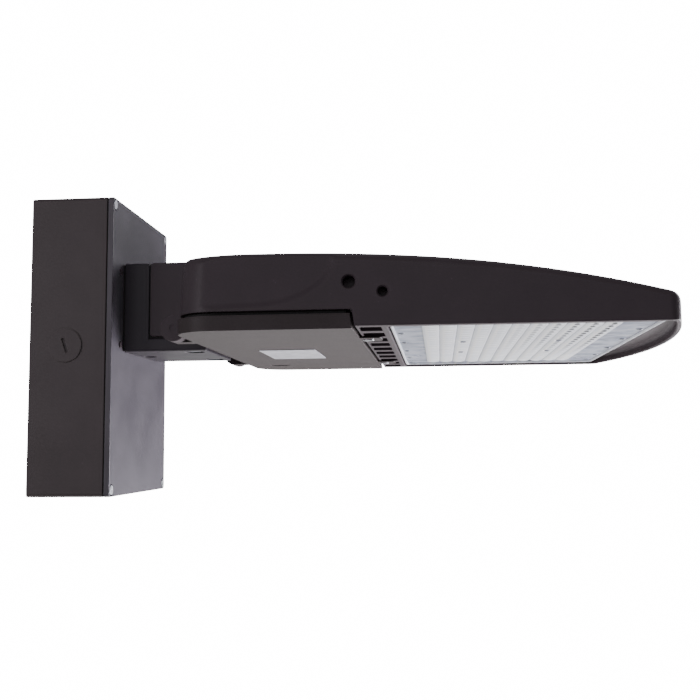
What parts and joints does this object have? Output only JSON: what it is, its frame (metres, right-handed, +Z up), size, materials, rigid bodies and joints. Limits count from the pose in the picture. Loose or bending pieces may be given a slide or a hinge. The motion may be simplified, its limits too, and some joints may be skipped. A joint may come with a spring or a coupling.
{
  "type": "shoebox area light",
  "caption": "Wall-mounted shoebox area light: a wall box with a screwed cover carries a short arm and a wide flat cast head with a lens window, vent slots and a hinged driver door.",
  "frame": {"origin": "centre of the wire entry at the back face of the wall box, on the wall", "axes": "+X out from the wall along the arm, +Y across the head, +Z up"},
  "size_m": [0.5375, 0.3706, 0.254],
  "materials": {
    "wall_box": "satin dark bronze powder coat",
    "box_gasket": "matt",
    "box_cover": "satin dark bronze powder coat",
    "cover_screws": "zinc plated",
    "conduit_plugs": "satin dark bronze powder coat",
    "ground_screw": "green dyed steel",
    "backing_plate": "zinc plated",
    "plate_rivets": "satin",
    "arm_bolts": "zinc plated",
    "arm_washers": "zinc plated",
    "wire_bushing": "matt",
    "arm_gasket": "matt",
    "arm": "satin dark bronze powder coat",
    "neck_gasket": "matt",
    "neck_bolts": "zinc plated",
    "neck_washers": "zinc plated",
    "housing": "satin dark bronze powder coat on an aluminium casting",
    "hinge_pins": "bare stainless",
    "driver_door": "satin dark bronze powder coat on an aluminium casting",
    "door_gasket": "matt",
    "door_screws": "zinc plated",
    "door_screw_retainers": "bare spring steel",
    "label_plate": "matt, blank",
    "driver_tray": "zinc plated sheet",
    "tray_screws": "zinc plated",
    "driver": "matt",
    "driver_screws": "zinc plated",
    "surge_protector": "matt",
    "terminal_block": "matt",
    "terminal_screws": "satin",
    "supply_cable": "matt",
    "supply_leads": "white, black and green insulation",
    "driver_leads": "black and white insulation",
    "lamp_leads": "red and black insulation",
    "lead_grommet": "matt",
    "lamp_board": "white solder mask on an aluminium core",
    "lamp_chips": "phosphor",
    "lens_gasket": "matt grey silicone",
    "lens_plate": "clear moulded acrylic",
    "lens_screws": "zinc plated"
  },
  "bodies": {
    "fixture": {"wall_box": "wall_box", "box_gasket": "box_gasket", "box_cover": "box_cover", "cover_screws": "cover_screws", "conduit_plugs": "conduit_plugs", "ground_screw": "ground_screw", "backing_plate": "backing_plate", "plate_rivets": "plate_rivets", "arm_bolts": "arm_bolts", "arm_washers": "arm_washers", "wire_bushing": "wire_bushing", "arm_gasket": "arm_gasket", "arm": "arm", "neck_gasket": "neck_gasket", "neck_bolts": "neck_bolts", "neck_washers": "neck_washers", "housing": "housing", "hinge_pins": "hinge_pins", "driver_tray": "driver_tray", "tray_screws": "tray_screws", "driver": "driver", "driver_screws": "driver_screws", "surge_protector": "surge_protector", "terminal_block": "terminal_block", "terminal_screws": "terminal_screws", "supply_cable": "supply_cable", "supply_leads": "supply_leads", "driver_leads": "driver_leads", "lamp_leads": "lamp_leads", "lead_grommet": "lead_grommet", "lamp_board": "lamp_board", "lamp_chips": "lamp_chips", "lens_gasket": "lens_gasket", "lens_plate": "lens_plate", "lens_screws": "lens_screws"},
    "door": {"driver_door": "driver_door", "door_gasket": "door_gasket", "door_screws": "door_screws", "door_screw_retainers": "door_screw_retainers", "label_plate": "label_plate"}
  },
  "joints": [
    {"name": "door_hinge", "type": "hinge", "parent": "fixture", "child": "door", "pos_m": [0.1375, 0, 0.0068], "axis": [0, 1, 0], "range_deg": [0, 90]}
  ]
}
